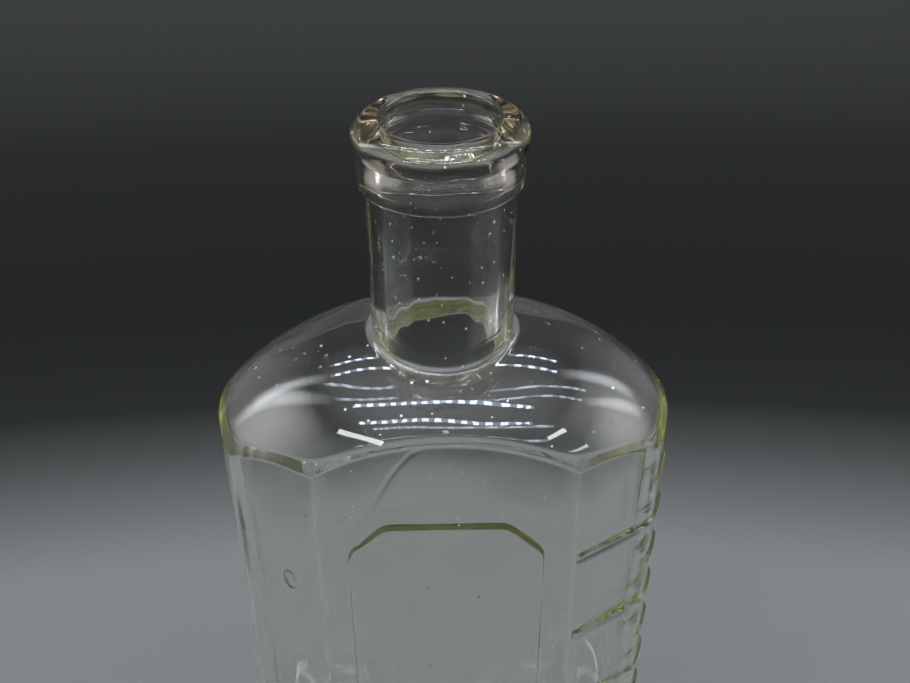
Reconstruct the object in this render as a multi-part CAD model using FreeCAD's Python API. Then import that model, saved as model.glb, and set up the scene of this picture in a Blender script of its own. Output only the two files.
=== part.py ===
import FreeCAD, Part
import math
import os

from FreeCAD import Matrix, Vector

# Mould-blown oval prescription bottle of eight fluid ounces, in millimetres.
# +Z is up, the flat front panel faces -Y, and the origin is on the surface the bottle
# stands on, under the middle of the box that holds it.

# Plan of the body
HEIGHT = 187.0
BODY_HALF_WIDTH = 34.0
BACK_DEPTH = 23.4          # neck axis to the back of the oval
PANEL_DEPTH = 19.2         # neck axis to the flat front panel
CREASE_HALF = 18.8         # half the width of the front panel
BEVEL_ANGLE = 31.5         # degrees between the front panel and each bevel beside it
SIDE_RADIUS = 25.4         # round of each side from its bevel to the mould's seam
CORNER_RADIUS = 16.5       # round of each side behind the seam
CREASE_ROUND = 2.2         # soft ridges beside the bevels

# Shoulder, whose fall from the axis grows with the cube of the distance
CROWN_DROP = 32.7          # lip's top down to where the curve would cross the axis
RIM_FALL = 13.1            # from there down to the rim at the sides
CURVE_REACH = 1.1          # where the curve ends, as a share of the half width
RIM_ROUND = 0.8            # soft ridge where the shoulder meets the wall

# Neck and lip
NECK_RADIUS = 10.3
NECK_FILLET = 2.0
BORE_RADIUS = 7.9
BORE_FLARE = 2.2
SEAT_DROP = 2.4            # lip's top down to the sheared end of the neck inside it
LIP_RADIUS = 12.0
LIP_HEIGHT = 9.2
LIP_CREST = 0.5            # round inner edge of the mouth
BEAD_DROP = 2.2            # lip's top down to the widest part of its bead
BEAD_UNDER = 2.0           # widest part down to the band under it
BAND_RADIUS = 11.5
BAND_ROUND = 0.7

# Glass
WALL = 3.7
SHOULDER_WALL = 4.2        # straight down, so thinner where the shoulder slopes
FLOOR = 6.5
CAVITY_FLOOR_ROUND = 7.0

# Base
HEEL_ROUND = 2.0
PUSH_UP_HEIGHT = 2.4
PUSH_UP_SLOPE = 9.0        # run of the sloping side of the hollow
BEARING_WIDTH = 6.5        # outside of the wall to the edge of the hollow

# Raised plate on the front panel
PLATE_RISE = 0.6
PLATE_ROOT = 0.5           # depth of its root in the wall
PLATE_HALF_WIDTH = 14.1
PLATE_TOP_HALF = 8.8
PLATE_TOP_DROP = 54.6
PLATE_CLIP = 5.3
PLATE_BOTTOM = 26.0

# Graduations one fluid ounce apart on the right bevel, with half ounces on the side
BAR_COUNT = 7
BAR_TOP_DROP = 62.0
BAR_SPACING = 16.9
BAR_HEIGHT = 1.1
BAR_RISE = 0.45
BAR_START = CREASE_HALF + 0.6
BAR_END_Y = -5.0           # short of the mould's seam at the side

RIM_Z = HEIGHT - CROWN_DROP - RIM_FALL
CROWN_Z = HEIGHT - CROWN_DROP
SEAT_Z = HEIGHT - SEAT_DROP
BACK_RADIUS = ((BODY_HALF_WIDTH ** 2 + BACK_DEPTH ** 2 - 2 * BODY_HALF_WIDTH * CORNER_RADIUS)
               / (2 * BACK_DEPTH - 2 * CORNER_RADIUS))   # meets the corners smoothly
AXIS_Y = (PANEL_DEPTH + PLATE_RISE - BACK_DEPTH) / 2
SEAM_TURN = 90             # degrees from the side to where the dome's surface closes
REACH = 100.0              # further out than any part of the plan
ROUND_STEPS = 2            # cone rings that stand for a small rounding
BEAD_STEPS = 3             # cone rings on top of the lip's bead
CAVITY_STEPS = 7           # cone rings of the shoulder inside


def polygon(points):
    """Flat face inside a closed outline."""
    return Part.Face(Part.makePolygon(points + points[:1]))


def path(points):
    """Edges through points given as (radius, height)."""
    spots = [Vector(radius, 0, z) for radius, z in points]
    return [Part.LineSegment(a, b).toShape() for a, b in zip(spots, spots[1:])]


def rounding(centre, radii, start, end, steps=ROUND_STEPS):
    """Points (radius, height) on part of an oval, between two angles in degrees."""
    turns = [math.radians(start + (end - start) * i / steps) for i in range(steps + 1)]
    return [(centre[0] + radii[0] * math.cos(t), centre[1] + radii[1] * math.sin(t)) for t in turns]


def turned(edges):
    """Solid of revolution about the neck axis."""
    face = Part.Face(Part.Wire(edges))
    return Part.Solid(face.revolve(Vector(), Vector(0, 0, 1), 360))


def flattened(shape, ratio):
    """The shape drawn in along Y, which turns a round plan into an oval one."""
    squeeze = Matrix()
    squeeze.A22 = ratio
    return shape.transformGeometry(squeeze)


def edges_between(shape, low, high):
    """Edges that lie wholly between two heights."""
    slack = 0.01
    return [e for e in shape.Edges if e.BoundBox.ZMin > low - slack and e.BoundBox.ZMax < high + slack]


def bevel_line(inset):
    """Ends of the right bevel in the plan, on the front panel and on the round side."""
    angle = math.radians(BEVEL_ANGLE)
    along = Vector(math.cos(angle), math.sin(angle), 0)
    crease = Vector(CREASE_HALF - inset * math.tan(angle / 2), inset - PANEL_DEPTH, 0)
    away = crease - Vector(BODY_HALF_WIDTH - SIDE_RADIUS, 0, 0)
    back = away.dot(along)
    run = math.sqrt(back ** 2 - away.dot(away) + (SIDE_RADIUS - inset) ** 2) - back
    return crease, crease + along * run


def round_edge(centre, start, end):
    """Arc between two points that are as far from the centre as each other."""
    middle = (start + end) / 2 - centre
    return Part.Arc(start, centre + middle.normalize() * start.distanceToPoint(centre), end).toShape()


def plan(inset):
    """Face of the sharp plan: flat front, a bevel each side, round sides and a flatter round back."""
    crease, bevel_end = bevel_line(inset)
    side = Vector(BODY_HALF_WIDTH - inset, 0, 0)
    side_centre = Vector(BODY_HALF_WIDTH - SIDE_RADIUS, 0, 0)
    corner_centre = Vector(BODY_HALF_WIDTH - CORNER_RADIUS, 0, 0)
    back_centre = Vector(0, BACK_DEPTH - BACK_RADIUS, 0)
    outward = (corner_centre - back_centre).normalize()
    join = back_centre + outward * (BACK_RADIUS - inset)
    right = [
        Part.LineSegment(crease, bevel_end).toShape(),
        round_edge(side_centre, bevel_end, side),
        round_edge(corner_centre, side, join),
    ]
    left = [edge.mirror(Vector(), Vector(1, 0, 0)) for edge in right]
    front = Part.LineSegment(Vector(-crease.x, crease.y, 0), crease).toShape()
    back = round_edge(back_centre, join, Vector(-join.x, join.y, 0))
    return Part.Face(Part.Wire(Part.__sortEdges__([front, back] + right + left)))


def soft_plan(grow):
    """Face of the outside plan with its creases rounded, grown by the given height above the wall."""
    return plan(CREASE_ROUND).makeOffset2D(CREASE_ROUND + grow)


def shoulder_curve(crown_z):
    """Half of the shoulder's profile, from beyond the wall up to the axis."""
    reach = CURVE_REACH * BODY_HALF_WIDTH
    curve = Part.BezierCurve()
    foot = Vector(reach, 0, crown_z - RIM_FALL * CURVE_REACH ** 3)
    curve.setPoles([foot] + [Vector(reach * i / 3, 0, crown_z) for i in (2, 1, 0)])
    return curve


def column(face, floor_z, floor_round, shoulder):
    """Upright wall on a round foot, closed above by a domed shoulder with the given profile."""
    wall = face.extrude(Vector(0, 0, HEIGHT))
    wall = wall.makeFillet(floor_round, edges_between(wall, 0, 0))
    wall.translate(Vector(0, 0, floor_z))
    foot, top = shoulder[0].Vertexes[0].Point, shoulder[-1].Vertexes[-1].Point
    dome = turned(shoulder + path([(0, top.z), (0, floor_z), (foot.x, floor_z), (foot.x, foot.z)]))
    dome.rotate(Vector(), Vector(0, 0, 1), SEAM_TURN)
    return wall.common(flattened(dome, BACK_DEPTH / BODY_HALF_WIDTH)).Solids[0]


def push_up():
    """Oval hollow under the base, which leaves a bearing ring round it."""
    half_width = BODY_HALF_WIDTH - BEARING_WIDTH
    half_depth = (PANEL_DEPTH + BACK_DEPTH) / 2 - BEARING_WIDTH
    crown = half_width - PUSH_UP_SLOPE
    dish = turned(path([(0, 0), (half_width, 0), (crown, PUSH_UP_HEIGHT), (0, PUSH_UP_HEIGHT), (0, 0)]))
    hollow = flattened(dish, half_depth / half_width)
    hollow.translate(Vector(0, (BACK_DEPTH - PANEL_DEPTH) / 2, 0))
    return hollow


def front_plate():
    """Raised plate with clipped corners on the front panel."""
    top = HEIGHT - PLATE_TOP_DROP
    side, flat = PLATE_HALF_WIDTH, PLATE_TOP_HALF
    right = [(flat, PLATE_BOTTOM), (side, PLATE_BOTTOM + PLATE_CLIP), (side, top - PLATE_CLIP), (flat, top)]
    left = [(-x, z) for x, z in reversed(right)]
    face = polygon([Vector(x, PLATE_ROOT - PANEL_DEPTH, z) for x, z in right + left])
    return face.extrude(Vector(0, -PLATE_ROOT - PLATE_RISE, 0))


def graduations():
    """Raised bars that cross the right bevel and run on round the side, and short ones between."""
    skin = soft_plan(BAR_RISE).extrude(Vector(0, 0, HEIGHT))
    bevel_edge = bevel_line(0)[1]
    slabs = []
    for step in range(BAR_COUNT):
        z = HEIGHT - BAR_TOP_DROP - step * BAR_SPACING - BAR_HEIGHT / 2
        long_bar = Vector(BAR_START, -REACH, z)
        short_bar = Vector(BAR_START, bevel_edge.y, z + BAR_SPACING / 2)
        for corner in (long_bar, short_bar):
            slabs.append(Part.makeBox(REACH, BAR_END_Y - corner.y, BAR_HEIGHT, corner))
    return skin.common(Part.makeCompound(slabs))


def outside_skin():
    """Everything that the mould and the blowpipe shape on the outside."""
    body = column(soft_plan(0), 0, HEEL_ROUND, [shoulder_curve(CROWN_Z).toShape()])
    body = body.makeFillet(RIM_ROUND, edges_between(body, RIM_Z - WALL, CROWN_Z - RIM_ROUND))
    body = body.cut(push_up()).fuse([front_plate(), graduations()])
    neck = Part.makeCylinder(NECK_RADIUS, SEAT_Z - RIM_Z, Vector(0, 0, RIM_Z))
    joined = body.fuse(neck)
    root = [e for e in edges_between(joined, RIM_Z + RIM_ROUND, SEAT_Z - RIM_ROUND)
            if abs(e.BoundBox.XLength - 2 * NECK_RADIUS) < RIM_ROUND]
    return joined.makeFillet(NECK_FILLET, root)


def cavity_skin():
    """Hollow that the air leaves inside, open at the end of the neck."""
    crown_z = CROWN_Z - SHOULDER_WALL
    spots = shoulder_curve(crown_z).discretize(CAVITY_STEPS + 1)
    hollow = column(plan(WALL), FLOOR, CAVITY_FLOOR_ROUND, path([(spot.x, spot.z) for spot in spots]))
    flare = BORE_RADIUS + BORE_FLARE
    low = crown_z - BORE_FLARE
    bore = turned(path([
        (0, RIM_Z), (flare, RIM_Z), (flare, low), (BORE_RADIUS, low + BORE_FLARE),
        (BORE_RADIUS, SEAT_Z), (0, SEAT_Z), (0, RIM_Z),
    ]))
    return hollow.fuse(bore)


def wall_between(outside, cavity):
    """Glass between two skins, which a flat ring joins at the end of the neck."""
    faces = []
    rims = []
    for face in outside.Faces + cavity.Faces:
        if face.BoundBox.ZMin > SEAT_Z - 0.01:
            rims.append(face.OuterWire)
        else:
            faces.append(face)
    end = Part.makeFace(rims, "Part::FaceMakerBullseye")
    shell = Part.makeShell(faces + end.Faces)
    shell.sewShape()
    wall = Part.makeSolid(shell)
    if wall.Volume < 0:
        wall.reverse()
    return wall


def blown_body():
    """Body, shoulder and neck, blown in one piece."""
    return wall_between(outside_skin(), cavity_skin())


def applied_lip():
    """Ring of glass laid over the sheared end of the neck and tooled to a bead over a band."""
    crest = BORE_RADIUS + LIP_CREST
    bead_z = HEIGHT - BEAD_DROP
    foot = HEIGHT - LIP_HEIGHT
    step = LIP_RADIUS - BAND_RADIUS
    outline = [(BORE_RADIUS, SEAT_Z)]
    outline += rounding((crest, HEIGHT - LIP_CREST), (LIP_CREST, LIP_CREST), 180, 90)
    outline += rounding((crest, bead_z), (LIP_RADIUS - crest, BEAD_DROP), 90, 0, BEAD_STEPS)[1:]
    outline += rounding((BAND_RADIUS, bead_z), (step, BEAD_UNDER), 0, -90)[1:]
    outline += rounding((BAND_RADIUS - BAND_ROUND, foot + BAND_ROUND), (BAND_ROUND, BAND_ROUND), 0, -90)
    outline += [(NECK_RADIUS, foot), (NECK_RADIUS, SEAT_Z), (BORE_RADIUS, SEAT_Z)]
    return turned(path(outline))


os.makedirs("parts", exist_ok=True)
for name, piece in (("blown_body", blown_body()), ("applied_lip", applied_lip())):
    piece.translate(Vector(0, AXIS_Y, 0))
    piece.exportStep("parts/" + name + ".step")
    print(name, piece.ShapeType, piece.isValid(), round(piece.Volume), piece.optimalBoundingBox())
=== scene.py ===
import math

import bpy
import numpy as np
from mathutils import Matrix, Vector


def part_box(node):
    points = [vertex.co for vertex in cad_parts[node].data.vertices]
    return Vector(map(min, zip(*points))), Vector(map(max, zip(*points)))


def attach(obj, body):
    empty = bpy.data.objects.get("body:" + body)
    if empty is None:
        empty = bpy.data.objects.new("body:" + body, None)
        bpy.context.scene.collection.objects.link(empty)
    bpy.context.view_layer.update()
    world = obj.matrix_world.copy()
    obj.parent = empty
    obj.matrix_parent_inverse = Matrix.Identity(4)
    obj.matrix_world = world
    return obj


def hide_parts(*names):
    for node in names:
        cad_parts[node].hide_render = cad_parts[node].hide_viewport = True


# Eight-ounce prescription bottle of clear mould-blown glass, with a flat bevelled front, a domed
# shoulder and a lip that was laid round the neck and tooled. Shapes are worked out in millimetres
# about the neck axis, as angles round it and heights above the table. Angle 0 is the bottle's right
# and minus 90 degrees is its front.

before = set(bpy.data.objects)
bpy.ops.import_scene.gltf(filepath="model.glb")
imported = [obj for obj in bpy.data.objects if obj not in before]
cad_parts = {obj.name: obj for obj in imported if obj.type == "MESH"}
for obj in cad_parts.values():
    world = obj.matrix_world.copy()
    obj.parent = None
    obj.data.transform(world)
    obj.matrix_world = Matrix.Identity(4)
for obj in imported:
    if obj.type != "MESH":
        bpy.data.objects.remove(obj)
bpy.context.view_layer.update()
MM = 0.001

body_low, body_high = (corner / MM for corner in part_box("blown_body"))
lip_low, lip_high = (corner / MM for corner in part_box("applied_lip"))

# Places taken from the frame
HALF_WIDTH = body_high.x
SEAT_Z = body_high.z               # sheared end of the neck, inside the lip
LIP_FOOT_Z = lip_low.z
HEIGHT = lip_high.z
LIP_RADIUS = lip_high.x
AXIS_Y = (lip_low.y + lip_high.y) / 2
BACK_DEPTH = body_high.y - AXIS_Y
PLATE_RISE = 0.6
PANEL_DEPTH = AXIS_Y - body_low.y - PLATE_RISE

# Plan of the body: flat panel, two flat bevels, round sides in front, and corner and back arcs behind
CREASE_HALF = 18.8
BEVEL = math.radians(31.5)
BEVEL_DEPTH = CREASE_HALF * math.sin(BEVEL) + PANEL_DEPTH * math.cos(BEVEL)
SIDE_RADIUS = 25.4
SIDE_X = HALF_WIDTH - SIDE_RADIUS
CORNER_RADIUS = 16.5
CORNER_X = HALF_WIDTH - CORNER_RADIUS
BACK_RADIUS = ((HALF_WIDTH ** 2 + BACK_DEPTH ** 2 - 2 * HALF_WIDTH * CORNER_RADIUS)
               / (2 * (BACK_DEPTH - CORNER_RADIUS)))
BACK_Y = BACK_DEPTH - BACK_RADIUS
RIDGE_SOFT = 0.22                  # how far the outside ridges are worn round
INSIDE_SOFT = 0.9                  # the hollow follows the ridges only loosely

# Shoulder and neck
CROWN_Z = HEIGHT - 32.7
RIM_FALL = 13.1
RIM_ROUND = 0.9
RIM_LOW_Z = CROWN_Z - RIM_FALL - 4.0   # below the lowest point of the rim
NECK_RADIUS = 10.3
NECK_FILLET = 1.4
BORE_RADIUS = 7.9
BORE_FLARE = 0.8

# Glass, which the blowing leaves thick on the flats and the floor, and thin at the sides and the rim
PANEL_WALL = 4.0
SIDE_WALL = 2.3
RIM_WALL = 1.8
CROWN_WALL = 2.6
THINNING_Z = CROWN_Z - 45.0        # where the wall begins to thin upwards
THINNING_FROM, THINNING_OVER = 0.35, 0.55   # shares of the shoulder's oval, going outwards
FLAT_FROM, FLAT_OVER = 0.45, 0.55  # how squarely a wall faces front or back, 1 being most
GLASS_FLOOR = 6.5
INSIDE_RIM_ROUND = 1.1
INSIDE_FLOOR_ROUND = 7.0

# Base
HEEL_ROUND = 2.0
BEARING_WIDTH = 6.5
PUSH_UP_HEIGHT = 2.4
PUSH_UP_SLOPE = 9.0

# Raised plate, with clipped corners
PLATE_HALF_WIDTH = 14.1
PLATE_TOP_Z = HEIGHT - 54.6
PLATE_BOTTOM_Z = 26.0
PLATE_CLIP = 5.3
PLATE_CORNER_SOFT = 0.35
PLATE_SLOPE = 1.2                  # width of the slope at its edge

# Graduations, one fluid ounce apart, with half ounces between them on the side
BAR_COUNT = 7
BAR_TOP_Z = HEIGHT - 62.0
BAR_SPACING = 16.9
BAR_HEIGHT = 1.1
BAR_RISE = 0.45
BAR_SLOPE = 0.6
BAR_START_X = CREASE_HALF + 0.6
BAR_END_Y = -5.0
BAR_END_TURN = math.radians(0.8)   # over which a bar runs out at its ends

# Fold that the hot glass kept on the panel, from the shoulder down to the plate
FOLD_TOP_Z = HEIGHT - 39.5
FOLD_FOOT_Z = HEIGHT - 62.0
FOLD_RISE = 0.14
FOLD_WIDTH = 0.32
FOLD_TOP_X = -1.2
FOLD_SWING = 2.7                   # to the left, at one millimetre below its top
FOLD_TOP_FADE = 1.5
FOLD_FOOT_FADE = 5.0

# Unevenness of the blown skin: height of the waves, their lengths, where they start, random seed
OUTSIDE_RIPPLE = (0.055, (6, 18), RIM_LOW_Z, 8)
INSIDE_RIPPLE = (0.16, (9, 32), GLASS_FLOOR, 5)
RIPPLE_WAVES = 24
RIPPLE_TOP_Z = LIP_FOOT_Z - 4.0
RIPPLE_TOP_FADE = 12.0
RIPPLE_FOOT_FADE = 10.0
DRAW_HEIGHT = 0.016                # of each wave that the drawing of the neck left in the bore
DRAW_COUNTS = (3, 5, 8, 13, 21)    # waves round the bore
DRAW_TOP_FADE = 6.0
DRAW_FOOT_FADE = 3.0

# Wear by handling on the upright ridges, and a painted glint round the foot of the neck
RIDGE_WEAR_TURN = math.radians(0.8)
PAINTED_FOOT_GLINT = 0.6                    # painted glint at the foot of the neck, where the ridges' wear has 1
FOOT_GLINT_ROWS = 7                 # of the mesh's rows in the rounding there, which carry the painted glint

# Two larger bubbles pressed flat, on the left bevel and under the edge of the shoulder: each a
# centre, three half lengths and a turn
FLAT_BUBBLES = [((-23.4, -14.6, 118), (1.2, 0.16, 2.0), -BEVEL),
                ((0.1, -17.4, 148.0), (0.65, 0.5, 0.22), 0)]

# Small bubbles: how many, their half lengths with the share of each, and where they are
NECK_SEEDS, NECK_SEED_SIZES, NECK_SEED_SHARES = 130, [0.08, 0.12, 0.16], [0.5, 0.35, 0.15]
NECK_SEED_RADII = (BORE_RADIUS + 0.5, NECK_RADIUS - 0.5)
NECK_SEED_HEIGHTS = (CROWN_Z + 3, LIP_FOOT_Z - 1)
NECK_SEED_STRETCH = (1, 2.4)
SHOULDER_SEEDS, SHOULDER_SEED_SIZES, SHOULDER_SEED_SHARES = 110, [0.12, 0.18, 0.28], [0.5, 0.35, 0.15]
SHOULDER_SEED_START = NECK_RADIUS + 2
SHOULDER_SEED_RIM = 3.5            # least distance from the wall
SHOULDER_SEED_FLATNESS = 0.8
WALL_SEEDS, WALL_SEED_SIZES, WALL_SEED_SHARES = 120, [0.10, 0.16, 0.25], [0.55, 0.35, 0.1]
WALL_SEED_HEIGHTS = (12, CROWN_Z - RIM_FALL - 6)
WALL_SEED_STRETCH = (1, 2)
SEED_DEPTHS = (0.7, 1.5)           # below the outside of the shoulder and the walls

# Lip, and how far its tooling by hand wanders
LIP_CREST = 0.5
BEAD_DROP = 2.2
BEAD_UNDER = 2.0
BAND_RADIUS = 11.5
BAND_ROUND = 0.7
CONTACT_GAP = 0.02                 # between the faces where lip and neck are melted together
LIP_WANDER = [(0.10, 2, 0, 0.7), (0.05, 5, 1, 0), (0.03, 11, 2, 0)]   # size, waves, climb, start
WANDER_INWARDS = 0.16              # so that the lip stays about within its radius
LIP_SEEDS, LIP_SEED_SIZES = 26, [0.08, 0.12, 0.18]
LIP_SEED_RADII = (NECK_RADIUS + 0.35, BAND_RADIUS - 0.4)
LIP_SEED_HEIGHTS = (LIP_FOOT_Z + 1, HEIGHT - 2.6)

# Mesh columns, in degrees: steps in front and behind, and first, end and step beside a ridge
FRONT_STEP = 0.5
BACK_STEP = 1.5
RIDGE_COLUMNS = (-1.5, 1.5, 0.125)
LIP_COLUMNS = 256

# Mesh rows of the stretches outside, from the base to the neck's end, and inside, back to the floor
PUSH_UP_ROWS, SLOPE_ROWS, RING_ROWS, HEEL_ROWS = 8, 10, 4, 6
NEAR_RIM_ROWS, RIM_ROWS, DOME_ROWS = 22, 6, 44
NECK_FOOT_ROWS, NECK_ROWS, SEAT_ROWS = 10, 24, 3
BORE_ROWS, FLARE_ROWS, CEILING_ROWS, INSIDE_RIM_ROWS = 24, 10, 40, 8
HOLLOW_ROWS, FLOOR_ROUND_ROWS, FLOOR_ROWS = 44, 8, 9
CREST_STEPS, BEAD_STEPS, UNDER_STEPS, FOOT_STEPS = 10, 18, 10, 8
SEED_MESH = (5, 8)                 # rings and columns of a small bubble
FLAT_BUBBLE_MESH = (13, 24)

# Mesh rows of the wall: steps up it, across a graduation, at the plate and at the fold
WALL_START_Z = HEEL_ROUND + 1
WALL_STEP = 3.0
BAR_ROWS = (-0.85, -0.65, -0.45, -0.25, 0, 0.25, 0.45, 0.65, 0.85)
PLATE_TOP_STEP = 0.25
PLATE_TOP_PAST, PLATE_BOTTOM_PAST, PLATE_CLIP_PAST = 1.6, 1.5, 2   # how far the close rows go on
FINE_STEP = 0.4
LEAST_STEP = 0.12

# Marks on the faces that the glass reads: melted to the other piece, inside the bottle, wear on the ridges
# and a painted glint at the foot of the neck
MARKS = ("melted", "inside", "wear_and_glint")

# Dirt on the glass
CLOUD_SIZE = 14.0                  # patches of residue and of scuffing
DUST_SPACING = 1.9
DUST_SIZE = 0.13                   # radius of the largest speck, as a share of the spacing
DUST_FROM_Z = 120.0                # none below, where it is wiped off
DUST_FULL_Z = 150.0

# Camera of the photograph
CAMERA_AT = Vector((-1.0, AXIS_Y - 141.1, 250.0))
CAMERA_PITCH = math.radians(35.02)
CAMERA_YAW = math.radians(1.13)
CAMERA_ROLL = math.radians(-0.23)
CAMERA_LENS = 46.16
CAMERA_SENSOR = 36
CAMERA_NEAR = 0.005

# Stage, in metres
PAPER_HALF = 8.0
PAPER_Z = -0.0005                  # clear of the bearing ring
PAPER_OVAL = (0.4, 1, 1)           # the tones spread wider across the view than along it
# Painted light and shade on the paper: pale round the bottle, falling to charcoal beyond, in place of how
# the light falls off
PAINTED_LIGHT_AND_SHADE_TONES = [(0.108, "#7e807d"), (0.134, "#656664"), (0.155, "#4b4c4a"), (0.18, "#2b2c2b"),
               (0.216, "#262726"), (0.25, "#252624"), (0.38, "#2e2f2d"), (0.6, "#515250")]
PAINTED_POOL_REACH = (0.075, 0.03)         # painted pool of light: paler paper under the bottle, from its edge to its full tone
FAR_REACH = (0.7, 3.0)             # white paper far off
LIGHTS_AIM = (0, 0, 0.15)          # the shoulder
STRIP_Z = 0.72
STRIPS = [(-0.17, 0.66), (-0.33, 0.74), (0.20, 0.8), (0.34, 0.8)]    # place along y, length
STRIP_WIDTH = 0.026
STRIP_DIODES = 15
FEATHER_GAIN = 36.0                # the fading leaves a sixth of the light each way
BOUNCES = 96                       # light runs a long way inside the walls, from face to face

TINY = 1e-6
SETTLE_ROUNDS = 8                  # that find where a rounding meets the curved shoulder


def smooth(value):
    """0 below 0, 1 above 1 and an even ramp between."""
    t = np.clip(value, 0, 1)
    return t * t * (3 - 2 * t)


def soft_min(values, softness):
    """Least of several values, with the changes from one to the next rounded off."""
    values = np.array(np.broadcast_arrays(*values))
    least = values.min(0)
    return least - softness * np.log(np.exp((least - values) / softness).sum(0))


def spread(start, end, count):
    """Rows of values from just after start to end, where both may differ from column to column."""
    start, end = np.broadcast_arrays(start, end)
    return start + (end - start) * np.linspace(0, 1, count + 1)[1:, None]


def plan_radius(angle, grow, softness):
    """Distance from the neck axis to the wall, in the plan grown outwards by some millimetres."""
    c, s = np.abs(np.cos(angle)), np.sin(angle)
    ahead = np.maximum(-s, TINY)
    front = (PANEL_DEPTH + grow) / ahead
    bevel = (BEVEL_DEPTH + grow) / np.maximum(c * math.sin(BEVEL) + ahead * math.cos(BEVEL), TINY)
    side = SIDE_X * c + np.sqrt((SIDE_RADIUS + grow) ** 2 - (SIDE_X * s) ** 2)
    before = soft_min([front, bevel, side], softness)
    corner = CORNER_X * c + np.sqrt(np.maximum((CORNER_RADIUS + grow) ** 2 - (CORNER_X * s) ** 2, 0))
    back = BACK_Y * s + np.sqrt((BACK_RADIUS + grow) ** 2 - (BACK_Y * c) ** 2)
    heading = math.atan2(-BACK_Y, CORNER_X)
    join = math.atan2(BACK_Y + BACK_RADIUS * math.sin(heading), BACK_RADIUS * math.cos(heading))
    behind = np.where(np.arctan2(s, c) < join, corner, back)
    return np.where(s < 0, before, behind)


def bevel_edge():
    """Angle of the ridge between the right bevel and the side."""
    along = np.array([math.cos(BEVEL), math.sin(BEVEL)])
    away = np.array([CREASE_HALF - SIDE_X, -PANEL_DEPTH])
    back = away @ along
    run = math.sqrt(back ** 2 - away @ away + SIDE_RADIUS ** 2) - back
    x, y = np.array([CREASE_HALF, -PANEL_DEPTH]) + along * run
    return math.atan2(y, x)


def upright_ridges():
    """Angles of the creases beside the panel and of the outer edges of the bevels."""
    crease = math.atan2(-PANEL_DEPTH, CREASE_HALF)
    edge = bevel_edge()
    return [crease, edge, -math.pi - crease, -math.pi - edge]


def ridge_wear(angle):
    """How far each column of the mesh is on one of the upright ridges, which handling has scuffed."""
    return np.max([np.exp(-((angle - ridge) / RIDGE_WEAR_TURN) ** 2) for ridge in upright_ridges()], 0)


def plate_rise(x, z):
    """Height of the raised plate, x being the place across the panel."""
    aside = PLATE_HALF_WIDTH - np.abs(x)
    above = PLATE_TOP_Z - z
    below = z - PLATE_BOTTOM_Z
    clips = [(aside + end - PLATE_CLIP) / math.sqrt(2) for end in (above, below)]
    within = soft_min([aside, above, below, *clips], PLATE_CORNER_SOFT)
    return PLATE_RISE * smooth(within / PLATE_SLOPE + 0.5)


def graduation_rise(angle, z):
    """Height of the bars: whole ounces from the crease on, half ounces from the edge of the bevel."""
    whole = math.atan2(-PANEL_DEPTH, BAR_START_X)
    half = bevel_edge()
    end = math.atan2(BAR_END_Y, HALF_WIDTH)
    rise = 0
    for step in range(BAR_COUNT):
        for start, lift in ((whole, 0), (half, 0.5)):
            level = BAR_TOP_Z - (step - lift) * BAR_SPACING
            across = smooth((BAR_HEIGHT / 2 - np.abs(z - level)) / BAR_SLOPE + 0.5)
            along = smooth((angle - start) / BAR_END_TURN) * smooth((end - angle) / BAR_END_TURN)
            rise = rise + BAR_RISE * across * along
    return rise


def fold_rise(x, z):
    """Height of the fold, which swings to the left as it comes down the panel."""
    middle = FOLD_TOP_X - FOLD_SWING * np.sqrt(np.maximum(FOLD_TOP_Z - z, 0))
    ends = smooth((z - FOLD_FOOT_Z) / FOLD_FOOT_FADE) * smooth((FOLD_TOP_Z - z) / FOLD_TOP_FADE)
    return FOLD_RISE * np.exp(-((x - middle) / FOLD_WIDTH) ** 2) * ends


def raised(angle, z):
    """Height of the plate, the graduations and the fold above the wall."""
    ahead = -np.sin(angle)
    x = PANEL_DEPTH * np.cos(angle) / np.maximum(ahead, TINY)
    return (plate_rise(x, z) + fold_rise(x, z)) * (ahead > 0) + graduation_rise(angle, z)


def angles_round():
    """Angles of the mesh's columns, close together in front and closest at the ridges."""
    front = np.arange(-180, 0, FRONT_STEP)
    back = np.arange(0, 180, BACK_STEP)
    ridges = [math.degrees(ridge) + np.arange(*RIDGE_COLUMNS) for ridge in upright_ridges()]
    return np.radians(np.unique(np.round(np.concatenate([front, back, *ridges]), 4)))


def heights_of_wall(low, high):
    """Heights of the mesh's rows on the wall, close together at the plate, fold and graduations."""
    levels = [BAR_TOP_Z - step * BAR_SPACING / 2 for step in range(-1, 2 * BAR_COUNT - 1)]
    rows = np.concatenate([
        np.arange(low, high, WALL_STEP),
        np.add.outer(levels, BAR_ROWS).ravel(),
        np.arange(PLATE_TOP_Z - PLATE_CLIP - PLATE_CLIP_PAST, PLATE_TOP_Z + PLATE_TOP_PAST, PLATE_TOP_STEP),
        np.arange(FOLD_FOOT_Z, high, FINE_STEP),
        np.arange(PLATE_BOTTOM_Z - PLATE_BOTTOM_PAST, PLATE_BOTTOM_Z + PLATE_CLIP + PLATE_CLIP_PAST,
                  FINE_STEP)])
    rows = np.unique(np.round(rows[(rows >= low) & (rows <= high)], 2))
    kept = [rows[0]]
    for z in rows[1:]:
        if z - kept[-1] > LEAST_STEP:
            kept.append(z)
    return np.array(kept)


def share_of_oval(angle, radius):
    """Distance from the axis as a share of the oval that the shoulder's rim follows."""
    return radius * np.sqrt((np.cos(angle) / HALF_WIDTH) ** 2 + (np.sin(angle) / BACK_DEPTH) ** 2)


def shoulder_top(angle, radius):
    """Height of the shoulder outside."""
    return CROWN_Z - RIM_FALL * share_of_oval(angle, radius) ** 3


def shoulder_ceiling(angle, radius):
    """Height of the shoulder inside, with the glass thinning from the neck to the rim."""
    thinned = smooth((share_of_oval(angle, radius) - THINNING_FROM) / THINNING_OVER)
    return shoulder_top(angle, radius) - CROWN_WALL + (CROWN_WALL - RIM_WALL) * thinned


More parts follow.
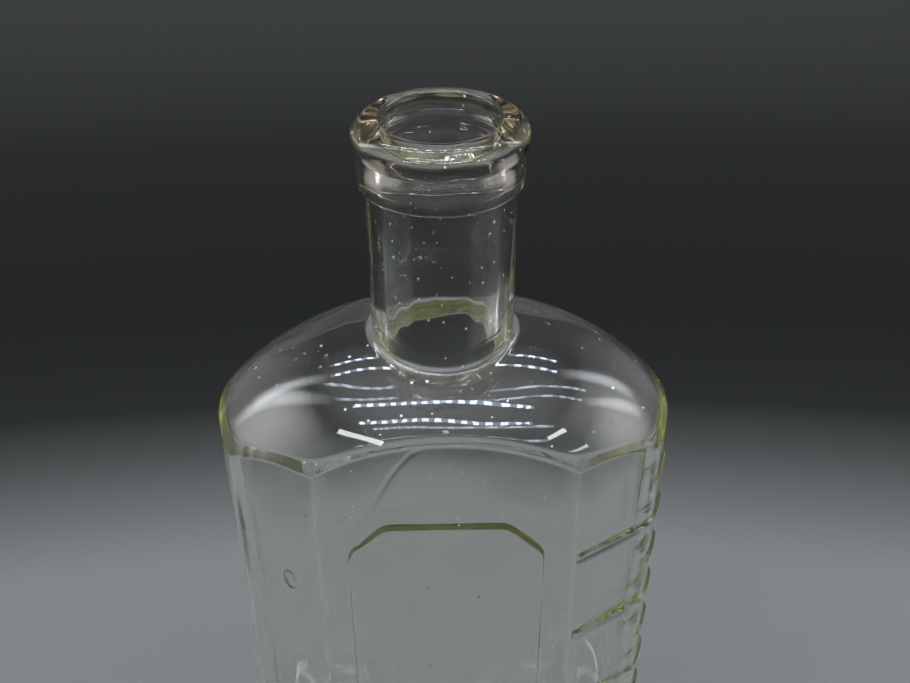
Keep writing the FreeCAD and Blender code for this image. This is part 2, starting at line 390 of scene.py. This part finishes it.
def wall_glass(angle):
    """Thickness of the wall below the shoulder, most at the front and the back."""
    flat = smooth((np.abs(np.sin(angle)) - FLAT_FROM) / FLAT_OVER)
    return SIDE_WALL + (PANEL_WALL - SIDE_WALL) * flat


def draw_lines(angle):
    """Fine upright waves in the bore, from the drawing of the neck."""
    random = np.random.default_rng(3)
    waves = [np.sin(count * angle + random.uniform(0, 2 * math.pi)) for count in DRAW_COUNTS]
    return DRAW_HEIGHT * np.sum(waves, 0)


def tilt_of(surface, angle, radius):
    """Angle of the shoulder below level, going outwards."""
    reach = 0.05
    return np.arctan((surface(angle, radius - reach) - surface(angle, radius + reach)) / (2 * reach))


def rim_arc(surface, angle, wall, turn):
    """Rounding from an upright wall to the shoulder: its centre, the tilt at its end and its end."""
    end = wall
    for _ in range(SETTLE_ROUNDS):
        tilt = tilt_of(surface, angle, end)
        end = wall - turn + turn * np.sin(tilt)
    return wall - turn, surface(angle, end) - turn * np.cos(tilt), tilt, end


def root_arc(surface, angle, wall, turn):
    """Rounding round a tube on the shoulder: its centre's height, the tilt at its end and its end."""
    end = np.full_like(angle, wall + turn)
    for _ in range(SETTLE_ROUNDS):
        tilt = tilt_of(surface, angle, end)
        end = wall + turn * (1 - np.sin(tilt))
    return surface(angle, end) + turn * np.cos(tilt), tilt, end


def underside_rows(wall):
    """Rows from the middle of the push-up over the bearing ring to the top of the heel."""
    hollow = wall - BEARING_WIDTH
    crown = hollow - PUSH_UP_SLOPE
    level = spread(0, 1, PUSH_UP_ROWS)
    slope = spread(0, 1, SLOPE_ROWS)
    ring = spread(0, 1, RING_ROWS)
    heel = spread(0, math.pi / 2, HEEL_ROWS)
    return [("base", crown * level, PUSH_UP_HEIGHT),
            ("base", crown + (hollow - crown) * slope, PUSH_UP_HEIGHT * (1 - smooth(slope))),
            ("base", hollow + (BEARING_WIDTH - HEEL_ROUND) * ring, 0),
            ("base", wall - HEEL_ROUND * (1 - np.sin(heel)), HEEL_ROUND * (1 - np.cos(heel)))]


def outside_rows(angle):
    """Place, radius and height of the rows outside, from the middle of the base to the neck's end."""
    wall = plan_radius(angle, 0.0, RIDGE_SOFT)
    rim, rim_z, rim_tilt, dome_edge = rim_arc(shoulder_top, angle, wall, RIM_ROUND)
    root_z, root_tilt, dome_root = root_arc(shoulder_top, angle, NECK_RADIUS, NECK_FILLET)
    wall_z = heights_of_wall(WALL_START_Z, RIM_LOW_Z)[:, None]
    near_rim_z = spread(RIM_LOW_Z, rim_z, NEAR_RIM_ROWS)
    rim_turn = spread(0, math.pi / 2 - rim_tilt, RIM_ROWS)
    dome = spread(dome_edge, dome_root, DOME_ROWS)
    foot_turn = spread(-math.pi / 2 - root_tilt, -math.pi, NECK_FOOT_ROWS)
    foot = NECK_RADIUS + NECK_FILLET * (1 + np.cos(foot_turn))
    foot_z = root_z + NECK_FILLET * np.sin(foot_turn)
    return underside_rows(wall) + [
        ("wall", plan_radius(angle, raised(angle, wall_z), RIDGE_SOFT), wall_z),
        ("wall", plan_radius(angle, raised(angle, near_rim_z), RIDGE_SOFT), near_rim_z),
        ("shoulder", rim + RIM_ROUND * np.cos(rim_turn), rim_z + RIM_ROUND * np.sin(rim_turn)),
        ("shoulder", dome, shoulder_top(angle, dome)),
        # Painted glint: the lower rows of the rounding at the foot of the neck are marked for a white veil
        ("neck foot glint", foot[:FOOT_GLINT_ROWS], foot_z[:FOOT_GLINT_ROWS]),
        ("neck", foot[FOOT_GLINT_ROWS:], foot_z[FOOT_GLINT_ROWS:]),
        ("neck", NECK_RADIUS, spread(root_z, LIP_FOOT_Z, NECK_ROWS)),
        ("seat", NECK_RADIUS, spread(LIP_FOOT_Z, SEAT_Z, SEAT_ROWS))]


def inside_rows(angle):
    """Place, radius and height of the rows inside, from the neck's end to the middle of the floor."""
    root_z, root_tilt, dome_root = root_arc(shoulder_ceiling, angle, BORE_RADIUS, BORE_FLARE)
    rim_wall = plan_radius(angle, -RIM_WALL, INSIDE_SOFT)
    rim, rim_z, rim_tilt, dome_edge = rim_arc(shoulder_ceiling, angle, rim_wall, INSIDE_RIM_ROUND)
    bore_z = spread(SEAT_Z, root_z, BORE_ROWS)
    below_lip = smooth((LIP_FOOT_Z - bore_z) / DRAW_TOP_FADE)
    above_flare = smooth((bore_z - root_z) / DRAW_FOOT_FADE)
    drawn = draw_lines(angle) * below_lip * above_flare
    flare = spread(-math.pi, -math.pi / 2 - root_tilt, FLARE_ROWS)
    dome = spread(dome_root, dome_edge, CEILING_ROWS)
    rim_turn = spread(math.pi / 2 - rim_tilt, 0, INSIDE_RIM_ROWS)
    wall_z = spread(rim_z, GLASS_FLOOR + INSIDE_FLOOR_ROUND, HOLLOW_ROWS)
    glass = wall_glass(angle)
    thinned = smooth((wall_z - THINNING_Z) / (rim_z - THINNING_Z))
    hollow = plan_radius(angle, -glass + (glass - RIM_WALL) * thinned, INSIDE_SOFT)
    foot = plan_radius(angle, -glass, INSIDE_SOFT)
    floor_turn = spread(0, -math.pi / 2, FLOOR_ROUND_ROWS)
    inwards = spread(1, 0, FLOOR_ROWS)[:-1]
    return [("sheared end", BORE_RADIUS, np.array([[SEAT_Z]])),
            ("inside", BORE_RADIUS + drawn, bore_z),
            ("inside", BORE_RADIUS + BORE_FLARE * (1 + np.cos(flare)), root_z + BORE_FLARE * np.sin(flare)),
            ("inside", dome, shoulder_ceiling(angle, dome)),
            ("inside", rim + INSIDE_RIM_ROUND * np.cos(rim_turn),
             rim_z + INSIDE_RIM_ROUND * np.sin(rim_turn)),
            ("inside", hollow, wall_z),
            ("inside", foot - INSIDE_FLOOR_ROUND * (1 - np.cos(floor_turn)),
             GLASS_FLOOR + INSIDE_FLOOR_ROUND * (1 + np.sin(floor_turn))),
            ("inside", (foot - INSIDE_FLOOR_ROUND) * inwards, GLASS_FLOOR)]


def grid_of(rows, angle):
    """Points of the rows, and the place that each row belongs to."""
    points, places = [], []
    for place, radius, z in rows:
        radius, z, _ = np.broadcast_arrays(radius, z, angle)
        points.append(np.stack([radius * np.cos(angle), radius * np.sin(angle), z], -1))
        places += [place] * len(z)
    return np.concatenate(points), np.array(places)


def ripple(points, size, lengths, low, seed):
    """Uneven surface left by the blowing: soft waves along its normals, from some height upwards."""
    along = np.gradient(points, axis=0)
    around = np.roll(points, -1, 1) - np.roll(points, 1, 1)
    normals = np.cross(around, along)
    normals /= np.maximum(np.linalg.norm(normals, axis=-1, keepdims=True), TINY)
    random = np.random.default_rng(seed)
    wave = 0
    for _ in range(RIPPLE_WAVES):
        length = random.uniform(*lengths)
        heading = random.normal(size=3)
        heading *= 2 * math.pi / length / np.linalg.norm(heading)
        wave = wave + length / lengths[1] * np.sin(points @ heading + random.uniform(0, 2 * math.pi))
    z = points[..., 2]
    fade = smooth((RIPPLE_TOP_Z - z) / RIPPLE_TOP_FADE) * smooth((z - low) / RIPPLE_FOOT_FADE)
    return points + normals * (wave * fade * size / math.sqrt(RIPPLE_WAVES / 2))[..., None]


def skin_faces(rows, columns):
    """Corner numbers of the four-sided faces between rows of points that close round the axis."""
    row, column = np.meshgrid(np.arange(rows - 1), np.arange(columns), indexing="ij")
    after = (column + 1) % columns
    here, above = row * columns, (row + 1) * columns
    return np.stack([here + column, here + after, above + after, above + column], -1).reshape(-1, 4)


def closed_skin(rows, columns):
    """Faces of a skin with a point at each end, the two points being numbered after the rows."""
    faces = skin_faces(rows, columns).tolist()
    first_tip, last_row = rows * columns, (rows - 1) * columns
    for column in range(columns):
        after = (column + 1) % columns
        faces.append([first_tip, after, column])
        faces.append([last_row + column, last_row + after, first_tip + 1])
    return faces


def bubbles(spots, rings, columns):
    """Points and faces of bubbles, each a centre, three half lengths and a turn, facing inwards."""
    tilt = np.pi * np.arange(1, rings + 1) / (rings + 1)
    turn = 2 * np.pi * np.arange(columns) / columns
    rows = np.stack([np.outer(np.sin(tilt), np.cos(turn)), np.outer(np.sin(tilt), np.sin(turn)),
                     np.outer(np.cos(tilt), np.ones(columns))], -1)
    ball = np.concatenate([rows.reshape(-1, 3), [[0, 0, 1], [0, 0, -1]]])
    skin = closed_skin(rings, columns)
    points, faces = [], []
    for number, (centre, halves, turned) in enumerate(spots):
        c, s = math.cos(turned), math.sin(turned)
        turn_round = np.array([[c, s, 0], [-s, c, 0], [0, 0, 1]])
        points.append(np.asarray(centre) + (ball * np.asarray(halves)) @ turn_round)
        faces += [[corner + number * len(ball) for corner in face] for face in skin]
    return np.concatenate(points), faces


def add_meshes(points, faces, extras):
    """Points and faces with those of other meshes after them."""
    for extra_points, extra_faces in extras:
        faces = faces + [[corner + len(points) for corner in face] for face in extra_faces]
        points = np.concatenate([points, extra_points])
    return points, faces


def seed_at(turn, radius, z, halves):
    """Small bubble at an angle, a distance from the neck axis and a height."""
    return (radius * math.cos(turn), radius * math.sin(turn), z), halves, 0


def body_seeds():
    """Bubbles caught in the glass: drawn out along the neck, flatter on the shoulder, few in the walls."""
    random = np.random.default_rng(12)
    spots = []
    for _ in range(NECK_SEEDS):
        turn = random.uniform(-math.pi, math.pi)
        size = random.choice(NECK_SEED_SIZES, p=NECK_SEED_SHARES)
        radius = random.uniform(*NECK_SEED_RADII)
        z = random.uniform(*NECK_SEED_HEIGHTS)
        spots.append(seed_at(turn, radius, z, (size, size, size * random.uniform(*NECK_SEED_STRETCH))))
    for _ in range(SHOULDER_SEEDS):
        turn = random.uniform(-math.pi, math.pi)
        size = random.choice(SHOULDER_SEED_SIZES, p=SHOULDER_SEED_SHARES)
        rim = float(plan_radius(np.array(turn), -SHOULDER_SEED_RIM, INSIDE_SOFT))
        radius = random.uniform(SHOULDER_SEED_START, rim)
        z = float(shoulder_top(np.array(turn), np.array(radius))) - random.uniform(*SEED_DEPTHS)
        spots.append(seed_at(turn, radius, z, (size, size, size * SHOULDER_SEED_FLATNESS)))
    for _ in range(WALL_SEEDS):
        turn = random.uniform(-math.pi, math.pi)
        size = random.choice(WALL_SEED_SIZES, p=WALL_SEED_SHARES)
        z = random.uniform(*WALL_SEED_HEIGHTS)
        radius = float(plan_radius(np.array(turn), -random.uniform(*SEED_DEPTHS), INSIDE_SOFT))
        spots.append(seed_at(turn, radius, z, (size, size, size * random.uniform(*WALL_SEED_STRETCH))))
    return spots


def lip_seeds():
    """Bubbles in the lip."""
    random = np.random.default_rng(4)
    spots = []
    for _ in range(LIP_SEEDS):
        turn = random.uniform(-math.pi, math.pi)
        size = random.choice(LIP_SEED_SIZES)
        radius = random.uniform(*LIP_SEED_RADII)
        z = random.uniform(*LIP_SEED_HEIGHTS)
        spots.append(seed_at(turn, radius, z, (size, size, size)))
    return spots


def make_piece(name, points, faces, material, marks):
    """Smooth mesh object from points in millimetres about the neck axis, with marks on its first faces."""
    mesh = bpy.data.meshes.new(name)
    places = (np.asarray(points) + np.array([0, AXIS_Y, 0])) * MM
    mesh.from_pydata(places.tolist(), [], faces)
    mesh.materials.append(material)
    for label in MARKS:
        values = np.zeros(len(faces), np.float32)
        given = np.ravel(marks.get(label, []))
        values[:len(given)] = given
        mesh.attributes.new(label, "FLOAT", "FACE").data.foreach_set("value", values)
    mesh.shade_smooth()
    piece = bpy.data.objects.new(name, mesh)
    bpy.context.scene.collection.objects.link(piece)
    return piece


def body_marks(angle, places):
    """Marks on the rings of faces between the rows of the body, by where each ring begins and ends."""
    begins, ends = places[:-1, None], places[1:, None]
    all_round = np.ones(len(angle))
    ridges = ridge_wear(angle) * np.isin(begins, ("base", "wall"))
    return {"melted": np.isin(ends, ("seat", "sheared end")) * all_round,
            "inside": np.isin(begins, ("sheared end", "inside")) * all_round,
            # Wear on the upright ridges, and a painted glint round the foot of the neck
            "wear_and_glint": np.where(begins == "neck foot glint", PAINTED_FOOT_GLINT, ridges)}


def blown_body(glass):
    """Body, shoulder and neck, whose outside and inside meet at the sheared end of the neck."""
    angle = angles_round()
    outside, outside_places = grid_of(outside_rows(angle), angle)
    inside, inside_places = grid_of(inside_rows(angle), angle)
    skin = np.concatenate([ripple(outside, *OUTSIDE_RIPPLE), ripple(inside, *INSIDE_RIPPLE)])
    middles = [[0, 0, PUSH_UP_HEIGHT], [0, 0, GLASS_FLOOR]]
    points = np.concatenate([skin.reshape(-1, 3), middles])
    faces = closed_skin(len(skin), len(angle))
    caught = [bubbles(body_seeds(), *SEED_MESH), bubbles(FLAT_BUBBLES, *FLAT_BUBBLE_MESH)]
    points, faces = add_meshes(points, faces, caught)
    marks = body_marks(angle, np.concatenate([outside_places, inside_places]))
    piece = make_piece("blown_body_glass", points, faces, glass, marks)
    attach(piece, "root")
    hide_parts("blown_body")


def arc_points(centre, radii, start, end, steps):
    """Points on an arc of an ellipse between two angles in degrees."""
    turns = np.radians(np.linspace(start, end, steps + 1))
    return [(centre[0] + radii[0] * math.cos(t), centre[1] + radii[1] * math.sin(t)) for t in turns]


def lip_outline():
    """Section of the lip as radius and height: first its free glass from bore to band, then its seat."""
    crest = BORE_RADIUS + LIP_CREST
    bead_z = HEIGHT - BEAD_DROP
    seat = SEAT_Z + CONTACT_GAP
    neck = NECK_RADIUS + CONTACT_GAP
    foot = (BAND_RADIUS - BAND_ROUND, LIP_FOOT_Z + BAND_ROUND)
    free = [(BORE_RADIUS, seat)]
    free += arc_points((crest, HEIGHT - LIP_CREST), (LIP_CREST, LIP_CREST), 180, 90, CREST_STEPS)
    free += arc_points((crest, bead_z), (LIP_RADIUS - crest, BEAD_DROP), 90, 0, BEAD_STEPS)[1:]
    under = (LIP_RADIUS - BAND_RADIUS, BEAD_UNDER)
    free += arc_points((BAND_RADIUS, bead_z), under, 0, -90, UNDER_STEPS)[1:]
    free += arc_points(foot, (BAND_ROUND, BAND_ROUND), 0, -90, FOOT_STEPS)
    return free, [(neck, LIP_FOOT_Z), (neck, seat)]


def applied_lip(glass):
    """Lip: a bead over a straight band, laid round the end of the neck and tooled by hand."""
    free, seat = lip_outline()
    angle = np.linspace(0, 2 * math.pi, LIP_COLUMNS, endpoint=False)
    rows = []
    for number, (radius, z) in enumerate(free + seat):
        tooled = smooth(radius - NECK_RADIUS - CONTACT_GAP) * (number < len(free))
        wander = -WANDER_INWARDS
        for size, waves, climb, start in LIP_WANDER:
            wander = wander + size * np.sin(waves * angle + climb * z + start)
        around = radius + tooled * wander
        rows.append(np.stack([around * np.cos(angle), around * np.sin(angle), z + 0 * angle], -1))
    points = np.concatenate(rows)
    faces = (skin_faces(len(rows) + 1, LIP_COLUMNS) % len(points))[:, ::-1].tolist()
    melted = np.repeat(np.arange(len(rows)) >= len(free), LIP_COLUMNS)
    points, faces = add_meshes(points, faces, [bubbles(lip_seeds(), *SEED_MESH)])
    piece = make_piece("applied_lip_glass", points, faces, glass, {"melted": melted})
    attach(piece, "root")
    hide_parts("applied_lip")


def srgb(code):
    """Linear colour from an sRGB hex value."""
    parts = [int(code[i:i + 2], 16) / 255 for i in (1, 3, 5)]
    return tuple(p / 12.92 if p <= 0.04045 else ((p + 0.055) / 1.055) ** 2.4 for p in parts) + (1.0,)


def add_node(tree, kind, settings=None, links=None):
    """Node with its settings and with links from other nodes' outputs into its inputs."""
    node = tree.nodes.new(kind)
    for key, value in (settings or {}).items():
        if isinstance(key, int) or key in node.inputs:
            node.inputs[key].default_value = value
        else:
            setattr(node, key, value)
    for key, socket in (links or {}).items():
        tree.links.new(socket, node.inputs[key])
    return node


def new_material(name):
    """Empty material and its node tree."""
    material = bpy.data.materials.new(name)
    material.use_nodes = True
    material.node_tree.nodes.clear()
    return material, material.node_tree


def clouding_and_painted_glint(tree, place, inside):
    """Dried residue inside, scuffs on the ridges that handling wore, and a painted glint round the foot of
    the neck, which give the eye a faint white veil in patches.
    """
    patches = add_node(tree, "ShaderNodeTexNoise", {"Scale": 1 / (CLOUD_SIZE * MM), "Detail": 4.0},
                       {"Vector": place})
    residue = add_node(tree, "ShaderNodeMapRange",
                       {"From Min": 0.35, "From Max": 0.7, "To Min": 0.01, "To Max": 0.05},
                       {"Value": patches.outputs[0]})
    scuff_and_glint = add_node(tree, "ShaderNodeMapRange",
                     {"From Min": 0.3, "From Max": 0.65, "To Min": 0.06, "To Max": 0.3},
                     {"Value": patches.outputs[0]})
    # Wear on the ridges, and a painted glint ring at the foot of the neck
    wear_and_glint = add_node(tree, "ShaderNodeAttribute", {"attribute_name": "wear_and_glint"})
    edges = add_node(tree, "ShaderNodeMath", {"operation": "MULTIPLY"},
                     {0: scuff_and_glint.outputs[0], 1: wear_and_glint.outputs["Fac"]})
    veil = add_node(tree, "ShaderNodeMath", {"operation": "MULTIPLY_ADD"},
                    {0: residue.outputs[0], 1: inside, 2: edges.outputs[0]})
    return veil.outputs[0]


def dust(tree, place, inside):
    """Dust on the shoulder and the neck outside, which the eye sees as scattered white specks."""
    cells = add_node(tree, "ShaderNodeTexVoronoi", {"Scale": 1 / (DUST_SPACING * MM)}, {"Vector": place})
    height = add_node(tree, "ShaderNodeSeparateXYZ", {}, {0: place})
    largest = add_node(tree, "ShaderNodeMapRange",
                       {"From Min": DUST_FROM_Z * MM, "From Max": DUST_FULL_Z * MM,
                        "To Min": 0.0, "To Max": DUST_SIZE},
                       {"Value": height.outputs["Z"]})
    size = add_node(tree, "ShaderNodeMath", {"operation": "MULTIPLY"},
                    {0: cells.outputs["Color"], 1: largest.outputs[0]})
    speck = add_node(tree, "ShaderNodeMath", {"operation": "LESS_THAN"},
                     {0: cells.outputs["Distance"], 1: size.outputs[0]})
    outside = add_node(tree, "ShaderNodeMath", {"operation": "GREATER_THAN"},
                       {0: speck.outputs[0], 1: inside})
    return outside.outputs[0]


def blown_glass(name, tint, density):
    """Soda-lime glass, smooth from the fire. The eye gets what is behind it, bent and turned over, sharp
    reflections of the lamps, and a tint that only shows through a long way of glass. Where two pieces
    are melted together, light goes straight on."""
    material, tree = new_material(name)
    place = add_node(tree, "ShaderNodeTexCoord").outputs["Object"]
    inside = add_node(tree, "ShaderNodeAttribute", {"attribute_name": "inside"}).outputs["Fac"]
    melted = add_node(tree, "ShaderNodeAttribute", {"attribute_name": "melted"})
    dull = add_node(tree, "ShaderNodeMath", {"operation": "MAXIMUM"},
                    {0: clouding_and_painted_glint(tree, place, inside), 1: dust(tree, place, inside)})
    clear = add_node(tree, "ShaderNodeMath", {"operation": "SUBTRACT", 0: 1.0}, {1: dull.outputs[0]})
    surface = add_node(tree, "ShaderNodeBsdfPrincipled",
                       {"Base Color": srgb("#ffffff"), "Roughness": 0.0, "IOR": 1.517},
                       {"Transmission Weight": clear.outputs[0]})
    straight = add_node(tree, "ShaderNodeBsdfTransparent")
    either = add_node(tree, "ShaderNodeMixShader", {},
                      {0: melted.outputs["Fac"], 1: surface.outputs[0], 2: straight.outputs[0]})
    depth = add_node(tree, "ShaderNodeVolumeAbsorption", {"Color": srgb(tint), "Density": density})
    add_node(tree, "ShaderNodeOutputMaterial", {},
             {"Surface": either.outputs[0], "Volume": depth.outputs[0]})
    return material


def paper_with_painted_light():
    """Matt grey paper with painted light and shade: a painted pool of light round the bottle, painted
    shade in charcoal beyond it so that the edges of the glass stand out, and white far away."""
    material, tree = new_material("paper with painted pool of light and shade, matt")
    place = add_node(tree, "ShaderNodeTexCoord").outputs["Object"]
    oval = add_node(tree, "ShaderNodeVectorMath", {"operation": "MULTIPLY", 1: PAPER_OVAL}, {0: place})
    depth = add_node(tree, "ShaderNodeVectorMath", {"operation": "LENGTH"}, {0: oval.outputs[0]})
    tone = add_node(tree, "ShaderNodeValToRGB", {}, {0: depth.outputs["Value"]})
    ramp = tone.color_ramp
    for _ in PAINTED_LIGHT_AND_SHADE_TONES[2:]:
        ramp.elements.new(0.5)
    for element, (distance, code) in zip(ramp.elements, PAINTED_LIGHT_AND_SHADE_TONES):
        element.position = distance
        element.color = srgb(code)
    colour = tone.outputs[0]
    away = add_node(tree, "ShaderNodeVectorMath", {"operation": "LENGTH"}, {0: place})
    # Painted pool of light under the bottle, then white paper far off
    for (start, end), code in ((PAINTED_POOL_REACH, "#9c9c9a"), (FAR_REACH, "#fbfbfd")):
        share = add_node(tree, "ShaderNodeMapRange",
                         {"From Min": start, "From Max": end, "interpolation_type": "SMOOTHSTEP"},
                         {"Value": away.outputs["Value"]})
        mix = add_node(tree, "ShaderNodeMix", {"data_type": "RGBA", 7: srgb(code)},
                       {0: share.outputs[0], 6: colour})
        colour = mix.outputs[2]
    paper = add_node(tree, "ShaderNodeBsdfDiffuse", {}, {"Color": colour})
    add_node(tree, "ShaderNodeOutputMaterial", {}, {"Surface": paper.outputs[0]})
    return material


def floor():
    """Flat sheet of paper under the bottle, with a painted pool of light round it and painted shade beyond.
    """
    mesh = bpy.data.meshes.new("floor")
    half = PAPER_HALF
    corners = [(-half, -half, 0), (half, -half, 0), (half, half, 0), (-half, half, 0)]
    mesh.from_pydata(corners, [], [(0, 1, 2, 3)])
    mesh.materials.append(paper_with_painted_light())
    sheet = bpy.data.objects.new("floor", mesh)
    bpy.context.scene.collection.objects.link(sheet)
    sheet.location.z = PAPER_Z


def area_lamp(name, at, target, size, power, colour):
    """Flat lamp of some metres each way, turned towards a point."""
    lamp = bpy.data.lights.new(name, "AREA")
    lamp.shape = "RECTANGLE"
    lamp.size, lamp.size_y = size
    lamp.energy = power
    lamp.color = srgb(colour)[:3]
    holder = bpy.data.objects.new(name, lamp)
    bpy.context.scene.collection.objects.link(holder)
    holder.location = at
    holder.rotation_euler = (Vector(target) - Vector(at)).to_track_quat("-Z", "Y").to_euler()
    return holder


def lamp_nodes(lamp):
    """Empty node tree of a lamp, and the place on its face, from 0 to 1 each way."""
    lamp.use_nodes = True
    lamp.node_tree.nodes.clear()
    place = add_node(lamp.node_tree, "ShaderNodeNewGeometry")
    return lamp.node_tree, place.outputs["Parametric"]


def lamp_glow(tree, level):
    """Light of the given strength out of a lamp's nodes."""
    glow = add_node(tree, "ShaderNodeEmission", {}, {"Strength": level})
    add_node(tree, "ShaderNodeOutputLight", {}, {"Surface": glow.outputs[0]})


def feather(lamp):
    """Soft box that fades towards its edges, with the same light in all."""
    tree, place = lamp_nodes(lamp)
    rest = add_node(tree, "ShaderNodeVectorMath", {"operation": "SUBTRACT", 0: (1, 1, 1)}, {1: place})
    both = add_node(tree, "ShaderNodeVectorMath", {"operation": "MULTIPLY"}, {0: place, 1: rest.outputs[0]})
    parts = add_node(tree, "ShaderNodeSeparateXYZ", {}, {0: both.outputs[0]})
    level = add_node(tree, "ShaderNodeMath", {"operation": "MULTIPLY"},
                     {0: parts.outputs["X"], 1: parts.outputs["Y"]})
    level = add_node(tree, "ShaderNodeMath", {"operation": "MULTIPLY", 1: FEATHER_GAIN},
                     {0: level.outputs[0]})
    lamp_glow(tree, level.outputs[0])


def split_into_diodes(lamp, count):
    """Row of small bright points in place of an even strip."""
    tree, place = lamp_nodes(lamp)
    parts = add_node(tree, "ShaderNodeSeparateXYZ", {}, {0: place})
    steps = add_node(tree, "ShaderNodeMath", {"operation": "MULTIPLY", 1: float(count)},
                     {0: parts.outputs["X"]})
    share = add_node(tree, "ShaderNodeMath", {"operation": "FRACT"}, {0: steps.outputs[0]})
    lit = add_node(tree, "ShaderNodeMath", {"operation": "LESS_THAN", 1: 0.5}, {0: share.outputs[0]})
    level = add_node(tree, "ShaderNodeMapRange", {"To Min": 0.3, "To Max": 1.7}, {"Value": lit.outputs[0]})
    lamp_glow(tree, level.outputs[0])


def dim_room():
    """Even grey light from all round."""
    world = bpy.data.worlds.new("studio")
    bpy.context.scene.world = world
    world.use_nodes = True
    tree = world.node_tree
    tree.nodes.clear()
    sky = add_node(tree, "ShaderNodeBackground", {"Color": srgb("#37373a"), "Strength": 1.0})
    add_node(tree, "ShaderNodeOutputWorld", {}, {"Surface": sky.outputs[0]})


def lights():
    """Soft light from above and both sides, and the rows of diodes and small lamps that the shoulder
    reflects."""
    dim_room()
    for side in (-1, 1):
        panel = area_lamp("side panel", (side * 0.45, 0.35, 0.30), (0, 0.35, 0.30), (1.0, 0.6), 0.3,
                          "#ffffff")
        box = area_lamp("soft box", (side * 0.44, 0.02, 0.36), LIGHTS_AIM, (0.5, 0.34), 0.6, "#ffffff")
        bar = area_lamp("light bar", (side * 0.46, 0.2, 0.465), LIGHTS_AIM, (0.11, 0.42), 0.36, "#f4f8ff")
        for lamp in (panel, box, bar):
            lamp.visible_camera = False
            feather(lamp.data)
    ceiling = area_lamp("soft ceiling", (0, 0.1, 1.0), (0, 0.1, 0), (1.5, 1.5), 3.4, "#ffffff")
    feather(ceiling.data)
    for y, length in STRIPS:
        strip = area_lamp("lamp strip", (0, y, STRIP_Z), LIGHTS_AIM, (length, STRIP_WIDTH), 0.95, "#dceaff")
        split_into_diodes(strip.data, STRIP_DIODES)
    area_lamp("small lamp", (-0.31, -0.35, 0.555), LIGHTS_AIM, (0.18, 0.03), 0.26, "#ffffff")
    area_lamp("small lamp", (0.41, -0.29, 0.5), LIGHTS_AIM, (0.12, 0.03), 0.17, "#ffffff")


def camera():
    """Camera where the photograph was taken from."""
    lens = bpy.data.cameras.new("photograph")
    lens.sensor_width = CAMERA_SENSOR
    lens.lens = CAMERA_LENS
    lens.clip_start = CAMERA_NEAR
    level = math.cos(CAMERA_PITCH)
    ahead = Vector((math.sin(CAMERA_YAW) * level, math.cos(CAMERA_YAW) * level, -math.sin(CAMERA_PITCH)))
    right = Vector((math.cos(CAMERA_YAW), -math.sin(CAMERA_YAW), 0))
    up = right.cross(ahead)
    right, up = (right * math.cos(CAMERA_ROLL) + up * math.sin(CAMERA_ROLL),
                 up * math.cos(CAMERA_ROLL) - right * math.sin(CAMERA_ROLL))
    eye = bpy.data.objects.new("photograph", lens)
    bpy.context.scene.collection.objects.link(eye)
    turn = Matrix((right, up, -ahead)).transposed().to_4x4()
    eye.matrix_world = Matrix.Translation(CAMERA_AT * MM) @ turn
    bpy.context.scene.camera = eye


# Straw and olive in the body, amber in the lip
blown_body(blown_glass("soda-lime glass, mould-blown", "#dfe25f", 10.5))
applied_lip(blown_glass("soda-lime glass, tooled hot", "#f2c04e", 65))
floor()
lights()
camera()
bpy.context.scene.view_settings.view_transform = "Standard"
for limit in ("max_bounces", "glossy_bounces", "transmission_bounces"):
    setattr(bpy.context.scene.cycles, limit, BOUNCES)
